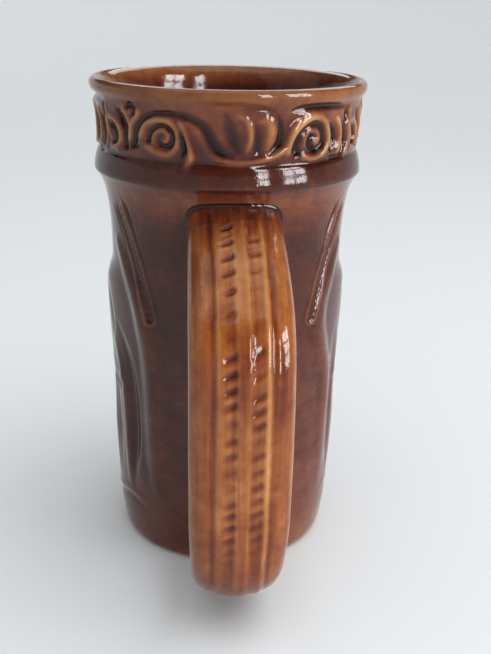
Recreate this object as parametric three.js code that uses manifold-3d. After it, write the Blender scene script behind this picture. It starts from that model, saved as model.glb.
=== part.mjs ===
// A stoneware tankard mug: a slip-cast body with its relief, a separately cast strap handle, and the two
// pads of slip that stick the handle on. Millimetres, +Z up, origin at the centre of the foot on the table,
// with the handle towards -Y.
import * as THREE from "three";
import { mergeVertices } from "three/addons/utils/BufferGeometryUtils.js";
import Module from "manifold-3d";

const wasm = await Module();
wasm.setup();

// ---------- driving dimensions ----------
const HEIGHT = 160; // foot to lip
const FOOT_RADIUS = 33; // flat disc that touches the table
const BODY_RADIUS = 38.7; // plain wall between the relief
const ROLL_RADIUS = 43.7; // rounded moulding under the scroll band
const BAND_RADIUS = 42.6; // ground of the scroll band
const LIP_RADIUS = 45.2;
const WALL = 4.8;
const FLOOR = 7;
const HANDLE_WIDTH = 29; // at the middle of the grip
const HANDLE_THICKNESS = 11.5;
const SLIP_THICKNESS = 1.2; // luting slip between handle and wall
const JOINT_GAP = 0.3; // clearance kept between separate solids
const AROUND = 64; // facets round the body

// ---------- materials ----------
const brownGlaze = new THREE.MeshStandardMaterial({ color: 0x5a2a18, roughness: 0.12, metalness: 0 });
const amberGlaze = new THREE.MeshStandardMaterial({ color: 0x9a5423, roughness: 0.12, metalness: 0 });
const darkGlaze = new THREE.MeshStandardMaterial({ color: 0x2c130b, roughness: 0.15, metalness: 0 });

// ---------- helpers ----------
// A closed three.js geometry as a manifold-3d solid.
function solidOf(geometry) {
  const bare = geometry.clone();
  bare.deleteAttribute("normal");
  bare.deleteAttribute("uv");
  const merged = mergeVertices(bare, 1e-3);
  return new wasm.Manifold(
    new wasm.Mesh({
      numProp: 3,
      vertProperties: new Float32Array(merged.attributes.position.array),
      triVerts: new Uint32Array(merged.index.array),
    }),
  );
}

function geometryOf(solid) {
  const mesh = solid.getMesh();
  const geometry = new THREE.BufferGeometry();
  geometry.setAttribute("position", new THREE.BufferAttribute(mesh.vertProperties, 3));
  geometry.setIndex(new THREE.BufferAttribute(mesh.triVerts, 1));
  geometry.computeVertexNormals();
  return geometry;
}

// A profile of (radius, height) points turned about the Z axis.
function turned(points) {
  const geometry = new THREE.LatheGeometry(points, AROUND);
  geometry.rotateX(Math.PI / 2);
  return geometry;
}

// ---------- body ----------
const LIP_CREST = new THREE.Vector2(LIP_RADIUS - 2, HEIGHT);

// Outer wall from the edge of the foot to the crest of the lip, moved out by `grow`.
function outerWall(grow) {
  const wall = new THREE.SplineCurve([
    new THREE.Vector2(FOOT_RADIUS, 0),
    new THREE.Vector2(FOOT_RADIUS + 2.4, 2.2),
    new THREE.Vector2(BODY_RADIUS - 2, 8),
    new THREE.Vector2(BODY_RADIUS - 0.9, 17),
    new THREE.Vector2(BODY_RADIUS - 0.3, 35),
    new THREE.Vector2(BODY_RADIUS, 60),
    new THREE.Vector2(BODY_RADIUS, 100),
    new THREE.Vector2(BODY_RADIUS + 0.7, 117),
    new THREE.Vector2(BODY_RADIUS + 2, 125),
    new THREE.Vector2(ROLL_RADIUS - 0.6, 129.6),
    new THREE.Vector2(ROLL_RADIUS, 133),
    new THREE.Vector2(BAND_RADIUS + 0.1, 138),
    new THREE.Vector2(BAND_RADIUS + 0.2, 144),
    new THREE.Vector2(BAND_RADIUS + 1, 152.5),
    new THREE.Vector2(LIP_RADIUS, 157.2),
    LIP_CREST,
  ]).getPoints(33);
  return wall.map((p) => new THREE.Vector2(p.x + grow, p.y));
}

// Inner wall from just above the lip down to the middle of the floor.
function innerWall() {
  const wall = new THREE.SplineCurve([
    new THREE.Vector2(LIP_CREST.x, HEIGHT + 1),
    LIP_CREST,
    new THREE.Vector2(LIP_RADIUS - WALL, HEIGHT - 3.2),
    new THREE.Vector2(BAND_RADIUS - WALL + 0.8, HEIGHT - 12),
    new THREE.Vector2(BAND_RADIUS - WALL, 132),
    new THREE.Vector2(BODY_RADIUS - WALL + 0.8, 118),
    new THREE.Vector2(BODY_RADIUS - WALL, 100),
    new THREE.Vector2(BODY_RADIUS - WALL - 0.4, 50),
    new THREE.Vector2(BODY_RADIUS - WALL - 1.6, 20),
  ]).getPoints(15);
  const cornerRadius = 8;
  const corner = new THREE.Path();
  corner.absarc(wall.at(-1).x - cornerRadius, FLOOR + cornerRadius, cornerRadius, 0, -Math.PI / 2, true);
  return [...wall, ...corner.getPoints(5), new THREE.Vector2(0, FLOOR)];
}

// The sleeves in relief on the two flanks: full just below their shoulder, fading out downwards.
const SLEEVE_SWELL = 2;
const SLEEVE_TOP = 102;
const SLEEVE_SHOULDER = 93;
const SLEEVE_END = 50;
const SLEEVE_HALF_ANGLE = 34; // either side of the flank, degrees

// How far the outer wall stands out at an angle from the handle (degrees) and a height.
function sleeveSwell(angle, z) {
  const offFlank = Math.abs(Math.abs(angle) - 90) / SLEEVE_HALF_ANGLE;
  if (offFlank >= 1) return 0;
  const rise = THREE.MathUtils.smoothstep(SLEEVE_TOP - z, 0, SLEEVE_TOP - SLEEVE_SHOULDER);
  const fall = THREE.MathUtils.smoothstep(z, SLEEVE_END, SLEEVE_SHOULDER);
  return SLEEVE_SWELL * rise * fall * Math.cos((offFlank * Math.PI) / 2) ** 2;
}

// The body without its hollow, `grow` proud of the true outer wall.
function bodyCore(grow) {
  const geometry = turned([new THREE.Vector2(0, 0), ...outerWall(grow), new THREE.Vector2(0, HEIGHT)]);
  const position = geometry.attributes.position;
  for (let i = 0; i < position.count; i++) {
    const x = position.getX(i);
    const y = position.getY(i);
    const radius = Math.hypot(x, y);
    if (radius < FOOT_RADIUS) continue;
    const angle = THREE.MathUtils.radToDeg(Math.atan2(x, -y));
    const stretch = 1 + sleeveSwell(angle, position.getZ(i)) / radius;
    position.setXY(i, x * stretch, y * stretch);
  }
  return solidOf(geometry);
}

const hollow = solidOf(turned([...innerWall().reverse(), new THREE.Vector2(0, HEIGHT + 1)]));

// ---------- braided straps in relief ----------
const STRAP_TOP = { angle: 62, z: 121 };
const STRAP_FOOT = { angle: 39.8, z: 86.5 };
const STRAP_WIDTH = 6.2;
const STRAP_RELIEF = 1;
const STRAP_DEPTH = 12; // of the block each strap is cut from

// A slanting strap on one side of the handle, +1 towards +X, as a block with a rounded lower end.
function strapBlock(side) {
  const at = ({ angle, z }) => {
    const turn = THREE.MathUtils.degToRad(angle);
    return new THREE.Vector3(side * BODY_RADIUS * Math.sin(turn), -BODY_RADIUS * Math.cos(turn), z);
  };
  const top = at(STRAP_TOP);
  const foot = at(STRAP_FOOT);
  const along = top.clone().sub(foot).normalize();
  const outward = new THREE.Vector3(top.x + foot.x, top.y + foot.y, 0);
  outward.addScaledVector(along, -outward.dot(along)).normalize();
  const across = outward.clone().cross(along);
  const half = STRAP_WIDTH / 2;
  const outline = new THREE.Shape();
  outline.absarc(0, 0, half, Math.PI / 2, Math.PI * 1.5);
  outline.lineTo(top.distanceTo(foot), -half);
  outline.lineTo(top.distanceTo(foot), half);
  const block = new THREE.ExtrudeGeometry(outline, { depth: STRAP_DEPTH, bevelEnabled: false, curveSegments: 8 });
  block.translate(0, 0, -STRAP_DEPTH / 2);
  block.applyMatrix4(new THREE.Matrix4().makeBasis(along, across, outward).setPosition(foot));
  return solidOf(block);
}

const reliefShell = bodyCore(STRAP_RELIEF).subtract(bodyCore(-1));
const straps = [-1, 1].map((side) => strapBlock(side).intersect(reliefShell));
const bodySolid = bodyCore(0).subtract(hollow).add(straps[0]).add(straps[1]);

// ---------- handle ----------
// Middle of the strap as (distance from the axis, height): from inside the wall at the top, out over the
// fingers and back in near the foot.
const gripLine = new THREE.CatmullRomCurve3(
  [
    [30, 123.6],
    [39, 121],
    [53.3, 114.9],
    [64, 109.2],
    [72.6, 102.8],
    [78.6, 94],
    [81.2, 82],
    [81.4, 66],
    [80.8, 48],
    [79.4, 33],
    [75.4, 21.6],
    [66.6, 15.3],
    [54, 14.2],
    [30, 15.6],
  ].map(([out, z]) => new THREE.Vector3(0, -out, z)),
  false,
  "centripetal",
);

const GRIP_STEPS = 44;
const TOP_SHARE = 0.95; // strap width at the upper end, as a share of HANDLE_WIDTH
const FOOT_SHARE = 0.88; // and at the lower end
const FULL_WIDTH_RISE = 1.3; // above 1, the middle of the strap keeps its full width for a stretch

// Share of the full strap width at t, from 0 at the upper end to 1 at the lower end.
function widthShare(t) {
  const end = t < 0.5 ? TOP_SHARE : FOOT_SHARE;
  return end + (1 - end) * Math.min(1, Math.sin(Math.PI * t) * FULL_WIDTH_RISE);
}

// The strap's section, `grow` larger all round: a crowned outer face with a raised middle panel that is
// edged by two ridges, and a flatter inner face. +Y faces away from the mug.
function gripSection(grow) {
  const w = HANDLE_WIDTH / 2 + grow;
  const h = HANDLE_THICKNESS / 2 + grow;
  const rightHalf = [
    [0.3 * w, 0.93 * h],
    [0.42 * w, h],
    [0.52 * w, 0.84 * h],
    [0.72 * w, 0.72 * h],
    [0.9 * w, 0.46 * h],
    [w, 0],
    [0.96 * w, -0.5 * h],
    [0.8 * w, -0.88 * h],
    [0.5 * w, -h],
  ].map(([x, y]) => new THREE.Vector2(x, y));
  const leftHalf = rightHalf.map((p) => new THREE.Vector2(-p.x, p.y)).reverse();
  return [...rightHalf, ...leftHalf].reverse();
}

// A section swept along gripLine from one share of its length to another.
function gripSolid(section, steps, from, to) {
  const across = new THREE.Vector3(1, 0, 0);
  const positions = [];
  for (let i = 0; i <= steps; i++) {
    const t = from + ((to - from) * i) / steps;
    const centre = gripLine.getPointAt(t);
    const outward = new THREE.Vector3().crossVectors(gripLine.getTangentAt(t), across).normalize();
    for (const p of section) {
      const q = centre.clone().addScaledVector(across, p.x * widthShare(t)).addScaledVector(outward, p.y);
      positions.push(q.x, q.y, q.z);
    }
  }
  const n = section.length;
  const index = [];
  for (let i = 0; i < steps; i++) {
    for (let k = 0; k < n; k++) {
      const a = i * n + k;
      const b = i * n + ((k + 1) % n);
      index.push(a, b, a + n, b, b + n, a + n);
    }
  }
  const last = steps * n;
  for (const [a, b, c] of THREE.ShapeUtils.triangulateShape(section, [])) {
    index.push(a, c, b);
    index.push(last + a, last + b, last + c);
  }
  const geometry = new THREE.BufferGeometry();
  geometry.setAttribute("position", new THREE.Float32BufferAttribute(positions, 3));
  geometry.setIndex(index);
  return solidOf(geometry);
}

const handleClearance = JOINT_GAP + SLIP_THICKNESS + JOINT_GAP;
const handleSolid = gripSolid(gripSection(0), GRIP_STEPS, 0, 1).subtract(bodyCore(handleClearance));

// ---------- luting slip ----------
const SQUEEZE_OUT = 1.4; // how far the slip shows round the end of the handle
const END_SHARE = 0.12; // of gripLine, enough to pass through the slip
const END_STEPS = 6;

// The pad of slip between the wall and one end of the handle.
const slipShell = bodyCore(JOINT_GAP + SLIP_THICKNESS).subtract(bodyCore(JOINT_GAP));
function slipPad(from, to) {
  return gripSolid(gripSection(SQUEEZE_OUT), END_STEPS, from, to).intersect(slipShell);
}

// ---------- assembly ----------
function named(name, solid, material) {
  const mesh = new THREE.Mesh(geometryOf(solid), material);
  mesh.name = name;
  return mesh;
}

const mug = new THREE.Group();
mug.add(named("mug_body", bodySolid, brownGlaze));
mug.add(named("handle", handleSolid, amberGlaze));
mug.add(named("upper_joint_slip", slipPad(0, END_SHARE), darkGlaze));
mug.add(named("lower_joint_slip", slipPad(1 - END_SHARE, 1), darkGlaze));

export default mug;
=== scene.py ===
"""A glazed stoneware tankard mug: the body with its moulded relief, the strap handle and the slip that
holds it. Lengths are worked out in millimetres and turned into metres as each mesh is made."""

import math
from functools import partial

import bpy
import numpy as np
from mathutils import Matrix, Vector


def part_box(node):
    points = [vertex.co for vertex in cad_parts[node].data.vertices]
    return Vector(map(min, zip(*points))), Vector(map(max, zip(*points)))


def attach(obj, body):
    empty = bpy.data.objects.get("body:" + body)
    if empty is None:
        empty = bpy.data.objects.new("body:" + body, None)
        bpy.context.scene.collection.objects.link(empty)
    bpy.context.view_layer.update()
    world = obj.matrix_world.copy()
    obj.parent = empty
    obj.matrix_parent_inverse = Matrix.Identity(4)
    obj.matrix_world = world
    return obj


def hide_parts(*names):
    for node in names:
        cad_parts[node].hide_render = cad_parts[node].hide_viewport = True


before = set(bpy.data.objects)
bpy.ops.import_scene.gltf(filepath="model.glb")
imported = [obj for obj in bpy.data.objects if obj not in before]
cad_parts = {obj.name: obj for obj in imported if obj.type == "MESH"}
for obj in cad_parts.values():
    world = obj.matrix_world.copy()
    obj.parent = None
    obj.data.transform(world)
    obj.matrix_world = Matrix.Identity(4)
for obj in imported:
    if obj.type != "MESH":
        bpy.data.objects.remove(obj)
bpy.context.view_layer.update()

MM = 0.001

# ---------- sizes from the frame ----------
_, body_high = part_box("mug_body")
_, handle_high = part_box("handle")
HEIGHT = body_high.z / MM
LIP_RADIUS = body_high.x / MM
GRIP_BULGE = 0.35  # how far each side of the strap stands out past the CAD's
GRIP_HALF_WIDTH = handle_high.x / MM + GRIP_BULGE

# ---------- sizes of the body ----------
BODY_RADIUS = 38.7  # plain wall
BAND_RADIUS = 42.6  # ground of the scroll band
ROLL_RADIUS = 43.95  # at the sharp lower edge of the roll
COLUMNS = 520  # vertices round the body
ROW_STEP = 0.5  # between rows of the outer wall
INNER_ROW_STEP = 2.2
ROUTE_STEP = 0.25  # between the points that a line of relief is measured from

# ---------- how the relief stands out, and how it moves the glaze ----------
BAND_GROOVE_SHARE = 1.25  # deepens every groove of the scroll band
CLOTH_RIDGE_SHARE = 0.8  # lowers every narrow ridge of the drapery
CLOTH_GROOVE_SHARE = 0.7  # and makes its grooves shallower
GATHERED_STAND = 0.4  # how much the lower folds stand out where they gather, next to the other side
CLOTH_SOFTNESS = 1.7  # spread of the blur over each kind of relief, in samples of the grid
BAND_SOFTNESS = 0.85
TRIM_SOFTNESS = 0.6  # straps and sprig
POOL_AND_SHADE_SOFTNESS = 1.0
CLOTH_COLOUR_SHARE = 0.22  # how much the drapery moves the glaze, next to the scroll band
TRIM_COLOUR_SHARE = 0.8  # and how much the straps and the sprig do
NEAR_COLOUR = 0.42  # glaze thinned by each millimetre that a spot stands above what is close round it
NEAR_SPREAD = 5  # in samples
WIDE_COLOUR = 0.16  # and above what is round it for some way
WIDE_SPREAD = 14
POOLING = 0.8  # how much a hollow darkens the glaze, next to how much a ridge lightens it
PAINTED_SIDE_LIGHT = 0.06  # painted light and shade: how much lighter the wall low down is made on the right, and darker on the left
PAINTED_SIDE_LIGHT_FADES = (50, 105)  # heights between which that painted light and shade fade out
RELIEF_STARTS = (2, 6)  # heights between which the relief fades in above the foot
RELIEF_STOPS = (155, 157)  # and out below the lip
GLAZE_STARTS = (0.5, 1.3)  # heights between which bare clay gives way to glaze


# ---------- curves ----------
def smooth_route(points, step=0.3):
    """Points about `step` apart on a Catmull-Rom curve through `points`."""
    p = np.asarray(points, float)
    ends = np.vstack([2 * p[0] - p[1], p, 2 * p[-1] - p[-2]])
    pieces = []
    for a, b, c, d in zip(ends, ends[1:], ends[2:], ends[3:]):
        count = max(2, int(np.linalg.norm(c - b) / step) + 1)
        t = np.linspace(0, 1, count, endpoint=False)[:, None]
        cubic = 3 * b - a - 3 * c + d
        pieces.append(0.5 * (2 * b + (c - a) * t + (2 * a - 5 * b + 4 * c - d) * t**2 + cubic * t**3))
    return np.vstack([*pieces, p[-1:]])


def evenly(points, step):
    """The same line with its points evenly spaced, about `step` apart."""
    gone = np.concatenate([[0], np.cumsum(np.linalg.norm(np.diff(points, axis=0), axis=1))])
    at = np.linspace(0, gone[-1], max(2, round(gone[-1] / step)) + 1)
    return np.column_stack([np.interp(at, gone, points[:, k]) for k in range(points.shape[1])])


def unit(vectors):
    return vectors / np.linalg.norm(vectors, axis=1)[:, None]


def line_slopes(line):
    return unit(np.gradient(line, axis=0))


def loop_slopes(loop):
    return unit(np.roll(loop, -1, 0) - np.roll(loop, 1, 0))


def smoothstep(low, high, x):
    t = np.clip((x - low) / (high - low), 0, 1)
    return t * t * (3 - 2 * t)


def mound(x):
    """1 at x = 0, falling smoothly to 0 at x = 1 and beyond."""
    return np.clip(1 - np.square(x), 0, None) ** 2


def read_off(x, table):
    """The value at x from a list of (x, value), straight between its entries."""
    return np.interp(x, *np.array(table).T)


def spread_along(share, values):
    """The value at a share of the way along evenly spaced values."""
    return np.interp(share, np.linspace(0, 1, len(values)), values)


def blur(grid, rows, columns=None):
    """A Gaussian blur with the given spreads in samples, or one spread both ways. Columns wrap round."""
    for axis, spread in ((0, rows), (1, columns or rows)):
        reach = int(3 * spread) + 1
        weights = np.exp(-0.5 * (np.arange(-reach, reach + 1) / spread) ** 2)
        weights /= weights.sum()
        pad = [(reach, reach) if a == axis else (0, 0) for a in range(2)]
        padded = np.pad(grid, pad, mode="edge" if axis == 0 else "wrap")
        length = grid.shape[axis]
        grid = sum(w * np.take(padded, range(k, k + length), axis) for k, w in enumerate(weights))
    return grid


# ---------- meshes ----------
def grid_faces(rows, columns, closed=False):
    """Quads of a grid whose columns wrap round, as its rows do where it is `closed`."""
    r, c = np.meshgrid(np.arange(rows if closed else rows - 1), np.arange(columns), indexing="ij")
    here = r * columns
    above = (r + 1) % rows * columns
    right = (c + 1) % columns
    return np.stack([here + c, here + right, above + right, above + c], -1).reshape(-1, 4).tolist()


def fan(tip, ring, flip=False):
    """Triangles from one vertex to each edge of a closed ring."""
    pairs = zip(ring, [*ring[1:], ring[0]])
    return [(tip, b, a) if flip else (tip, a, b) for a, b in pairs]


def capped_faces(rows, columns):
    """Faces of a tube of rings, closed at each end by a fan to one of the two vertices that follow them."""
    low_tip = rows * columns
    faces = grid_faces(rows, columns)
    faces += fan(low_tip, list(range(columns)), flip=True)
    faces += fan(low_tip + 1, list(range(low_tip - columns, low_tip)))
    return faces


def make_piece(name, vertices, faces, floats=None, vectors=None, flip=False):
    """A smooth-shaded object from millimetre coordinates, with the point attributes given. `flip` turns
    every face over."""
    mesh = bpy.data.meshes.new(name)
    mesh.from_pydata((np.asarray(vertices) * MM).tolist(), [], faces)
    for key, values in (floats or {}).items():
        attribute = mesh.attributes.new(key, "FLOAT", "POINT")
        attribute.data.foreach_set("value", np.asarray(values, np.float32))
    for key, values in (vectors or {}).items():
        attribute = mesh.attributes.new(key, "FLOAT_VECTOR", "POINT")
        attribute.data.foreach_set("vector", np.asarray(values, np.float32).ravel())
    if flip:
        mesh.flip_normals()
    mesh.shade_smooth()
    mesh.validate()
    piece = bpy.data.objects.new(name, mesh)
    bpy.context.scene.collection.objects.link(piece)
    return piece


# ---------- relief ----------
class Relief:
    """Heights in millimetres over a grid of angles (degrees from the handle) and heights up the mug."""

    def __init__(self, angles, heights, radius):
        self.angles = angles
        self.heights = heights
        self.radius = radius
        shape = (len(heights), len(angles))
        self.folds = np.zeros(shape)
        self.ridges = np.zeros(shape)
        self.grooves = np.zeros(shape)
        self.pools_and_shade = np.zeros(shape)

    def near(self, route, reach):
        """Grid window within `reach` of a route of (angle, height), and there the distance to it, how far
        along it the nearest point is (0 to 1), and about how many millimetres that is."""
        line = np.array(route, float)
        middle = line[:, 0].mean()
        line[:, 0] = np.radians(line[:, 0] - middle) * self.radius
        line = evenly(smooth_route(line), ROUTE_STEP)
        across = np.radians((self.angles - middle + 180) % 360 - 180) * self.radius
        low = line.min(axis=0) - reach
        high = line.max(axis=0) + reach
        rows = np.flatnonzero((self.heights > low[1]) & (self.heights < high[1]))
        columns = np.flatnonzero((across > low[0]) & (across < high[0]))
        if not len(rows) or not len(columns):
            return None
        x, z = np.meshgrid(across[columns], self.heights[rows])
        best = np.full(x.shape, np.inf)
        nearest = np.zeros(x.shape, int)
        for k, (px, pz) in enumerate(line):
            d = (x - px) ** 2 + (z - pz) ** 2
            closer = d < best
            best[closer] = d[closer]
            nearest[closer] = k
        window = np.ix_(rows, columns)
        return window, np.sqrt(best), nearest / (len(line) - 1), nearest * ROUTE_STEP

    def stroke(self, layer, route, width, height, keep="max"):
        """A rounded line along a route. Width (to each side) and height may be lists, spread along it."""
        widths = np.atleast_1d(width).astype(float)
        heights = np.atleast_1d(height).astype(float)
        found = self.near(route, widths.max() + 0.5)
        if found is None:
            return
        window, distance, share, _ = found
        w = spread_along(share, widths)
        h = spread_along(share, heights)
        bump = h * mound(distance / np.maximum(w, 0.05))
        old = layer[window]
        layer[window] = old + bump if keep == "add" else np.maximum(old, bump)

    def ridge(self, route, width, height):
        self.stroke(self.ridges, route, width, height)

    def groove(self, route, width, depth):
        self.stroke(self.grooves, route, width, depth)

    def fold(self, route, width, height):
        self.stroke(self.folds, route, width, height, keep="add")

    def pool(self, route, width, darkness):
        """Glaze that gathered and darkened along a route, deepened with painted shade, with no change of
        height.
        """
        self.stroke(self.pools_and_shade, route, width, darkness)

    def total(self):
        return self.folds + self.ridges - self.grooves


class Placed:
    """Draws on a relief through `place`, which turns a route into its own place on the mug. The shares make
    its ridges lower and its grooves shallower."""

    def __init__(self, relief, place, ridge_share=1.0, groove_share=1.0):
        self.relief = relief
        self.place = place
        self.ridge_share = ridge_share
        self.groove_share = groove_share

    def ridge(self, route, width, height):
        self.relief.ridge(self.place(route), width, self.ridge_share * np.array(height))

    def groove(self, route, width, depth):
        self.relief.groove(self.place(route), width, self.groove_share * np.array(depth))

    def fold(self, route, width, height):
        self.relief.fold(self.place(route), width, height)

    def pool(self, route, width, darkness):
        self.relief.pool(self.place(route), width, darkness)


# ---------- scroll band ----------
# Each list runs along the band as (angle from the handle, height), for the part that faces the handle. The
# same third of the band comes round three times.
BAND_REPEATS = 3


def moved(route, by):
    return [(angle + by, z) for angle, z in route]


def first_spiral(band):
    """The spiral, with the contour that runs over it and down past the branch."""
    band.ridge(
        [(-41.0, 145.4), (-38.2, 148.9), (-32.4, 150.5), (-26.8, 149.8), (-24.0, 146.8), (-24.2, 143.0),
         (-27.8, 140.5), (-32.8, 140.8), (-37.6, 142.4)],
        1.5, 0.66,
    )
    band.groove(
        [(-37.0, 143.6), (-36.8, 145.4), (-35.6, 147.0), (-33.2, 148.3), (-30.2, 148.8), (-27.4, 148.2),
         (-25.8, 146.8), (-25.7, 144.7), (-26.8, 143.2), (-28.7, 142.7), (-30.8, 143.2), (-31.9, 144.4),
         (-31.5, 145.6), (-30.4, 146.2)],
        [0.9, 0.85, 0.8, 0.8, 0.85, 0.85, 0.5], [1.1, 1.0, 0.9, 1.0, 1.1, 1.0, 0.5],
    )
    band.ridge(
        [(-34.7, 143.4), (-33.8, 146.2), (-30.6, 147.7), (-28.0, 146.7), (-28.0, 144.8), (-29.4, 144.1)],
        [0.5, 0.9, 1.0, 1.0], 0.6,
    )
    band.groove(
        [(-46.3, 142.0), (-44.2, 144.4), (-42.9, 147.2), (-39.4, 150.2), (-35.0, 151.8), (-30.5, 152.3),
         (-25.0, 152.4), (-19.9, 151.9), (-15.6, 150.5), (-12.4, 148.6), (-10.1, 146.1), (-8.0, 143.6),
         (-5.7, 141.9), (-1.7, 141.0)],
        [1.5, 1.4, 1.3, 1.1, 1.1, 1.2, 1.6, 2.0, 2.2, 1.8, 0.8],
        [1.2, 1.0, 1.0, 0.9, 0.9, 0.75, 0.55, 0.4, 0.35, 0.35, 0.2],
    )
    # pooled glaze and painted shade along the contour's lower run, where its groove is shallow
    band.pool(
        [(-18.0, 151.4), (-12.9, 149.0), (-10.4, 146.0), (-8.0, 143.2), (-3.4, 141.6), (3.0, 141.6)],
        [1.8, 2.6, 2.8, 2.6, 2.2, 1.4], [0.08, 0.22, 0.27, 0.24, 0.18, 0.10],
    )
    band.groove([(-44.5, 142.0), (-42.3, 142.3)], 1.0, 0.9)


def branch(band):
    """The tail of the first spiral, and the branch that runs on under the leaf."""
    band.groove(
        [(-22.6, 147.2), (-21.6, 144.8), (-20.9, 142.4), (-21.6, 140.4)],
        [0.6, 1.1, 1.3, 0.7], [0.5, 1.0, 1.2, 0.6],
    )
    band.ridge(
        [(-22.6, 150.0), (-20.7, 147.6), (-19.3, 143.8), (-18.3, 141.4), (-18.4, 139.2), (-20.2, 137.8)],
        [1.2, 1.1, 1.1, 1.4, 1.9, 1.5], [0.6, 0.7, 0.8, 0.9, 1.0, 0.7],
    )
    band.ridge(
        [(-19.0, 150.6), (-16.2, 149.0), (-13.8, 146.0), (-11.6, 142.8), (-7.6, 140.1), (-1.7, 138.8),
         (4.0, 138.8), (9.8, 139.6), (14.3, 140.6), (19.9, 142.5)],
        [1.6, 2.0, 2.0, 1.9, 1.7, 1.5, 1.4, 1.5, 1.7], [0.2, 0.22, 0.22, 0.3, 0.45, 0.6, 0.7, 0.8, 0.9],
    )


def broad_leaf(band):
    """The broad leaf between the two spirals."""
    # pooled glaze and painted shade in the leaf's shallow groove
    band.pool(
        [(-4.4, 151.6), (-2.4, 148.2), (-0.6, 144.8), (1.6, 142.2)],
        [2.0, 3.6, 3.8, 2.4], [0.05, 0.13, 0.15, 0.10],
    )
    band.groove(
        [(-4.4, 152.6), (-3.0, 149.4), (-1.6, 146.0), (0.6, 143.0)],
        [1.6, 2.6, 2.8, 1.6], [0.2, 0.35, 0.4, 0.2],
    )
    band.ridge(
        [(0.4, 152.6), (3.4, 151.6), (5.0, 149.4), (5.6, 146.4), (4.8, 143.8), (3.9, 141.8)],
        [1.2, 1.4, 1.5, 1.5, 1.3, 1.0], [0.25, 0.5, 0.8, 0.85, 0.65, 0.3],
    )
    band.groove(
        [(7.6, 149.6), (8.0, 146.6), (8.1, 143.6), (8.6, 141.8)],
        [1.0, 1.5, 1.6, 0.9], [0.15, 0.35, 0.35, 0.2],
    )
    # pooled glaze and painted shade in the shallow middle groove
    band.pool(
        [(7.6, 149.4), (8.0, 146.4), (8.2, 143.2), (9.0, 141.4)],
        [1.0, 1.7, 1.9, 1.4], [0.05, 0.15, 0.18, 0.12],
    )
    band.ridge(
        [(9.4, 151.0), (12.2, 151.2), (13.6, 148.6), (13.2, 145.4), (12.2, 142.8)],
        [1.6, 2.4, 2.6, 2.3, 1.4], [0.35, 0.65, 0.7, 0.6, 0.3],
    )
    band.groove(
        [(2.6, 154.4), (6.6, 154.7), (10.5, 154.7), (14.8, 154.3)],
        [0.8, 1.0, 1.0, 0.7], [0.2, 0.45, 0.45, 0.15],
    )
    band.groove(
        [(16.0, 152.4), (17.4, 150.0), (17.8, 147.4), (17.1, 144.8), (15.5, 142.8), (13.2, 141.4)],
        [0.6, 0.9, 1.0, 1.1, 1.2, 0.7], [0.4, 0.8, 0.8, 1.0, 1.1, 0.4],
    )


def second_spiral(band):
    """The other spiral, with a broad shoulder above it."""
    band.ridge(
        [(20.8, 141.4), (22.0, 144.4), (24.0, 147.6), (27.2, 150.2), (31.6, 151.6), (36.0, 151.4)],
        [1.4, 2.2, 3.0, 3.1, 2.6, 1.6], [0.8, 1.0, 1.15, 1.2, 1.0, 0.6],
    )
    band.ridge(
        [(31.6, 151.8), (36.0, 151.6), (40.0, 149.0), (41.6, 145.6), (40.8, 142.4), (37.6, 140.2),
         (32.8, 139.4), (28.4, 140.2)],
        1.5, [0.4, 0.8, 0.85, 0.85, 0.85],
    )
    band.groove(
        [(25.2, 141.4), (24.3, 143.6), (25.3, 146.0), (27.4, 148.2), (30.4, 149.7), (33.8, 149.9),
         (36.8, 148.6), (38.3, 146.2), (38.2, 143.6), (36.0, 141.9), (32.9, 142.1), (31.1, 144.0),
         (31.8, 145.9), (33.6, 146.0)],
        [1.3, 1.1, 0.9, 0.9, 1.0, 1.2, 1.3, 0.9], [1.3, 1.0, 0.75, 0.8, 1.0, 1.2, 1.2, 0.7],
    )
    band.ridge(
        [(28.4, 143.4), (28.8, 146.2), (31.4, 147.8), (34.4, 147.2), (35.6, 145.2), (34.0, 144.2)],
        [0.8, 1.0, 1.1, 1.2], 0.55,
    )
    band.groove(
        [(22.0, 154.0), (28.0, 154.6), (36.0, 154.6), (46.0, 154.2), (55.0, 153.6)],
        [0.6, 1.2, 1.4, 1.2, 0.6], [0.7, 1.0, 1.1, 1.0, 0.6],
    )


def drop_and_ridges(band):
    """What follows the second spiral: a dark drop, two upright ridges and a curl."""
    band.groove(
        [(42.6, 149.0), (44.9, 146.4), (45.0, 143.4), (43.6, 141.2)],
        [0.8, 1.5, 1.6, 0.8], [0.8, 1.3, 1.4, 0.8],
    )
    band.ridge([(46.6, 150.6), (49.2, 148.0), (49.8, 144.4), (48.4, 140.6)], [1.3, 1.2, 1.1, 1.2], 0.85)
    band.groove(
        [(50.8, 148.8), (53.6, 145.6), (54.0, 142.2), (51.6, 139.2)],
        [0.7, 1.1, 1.1, 0.8], [0.8, 1.2, 1.2, 0.8],
    )
    band.groove([(44.0, 139.0), (48.6, 138.6), (52.4, 138.9)], 0.8, 0.8)
    band.ridge([(53.6, 150.6), (57.0, 147.0), (57.2, 142.6), (54.4, 139.4)], [1.0, 1.1, 1.1, 1.1], 0.8)


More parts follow.
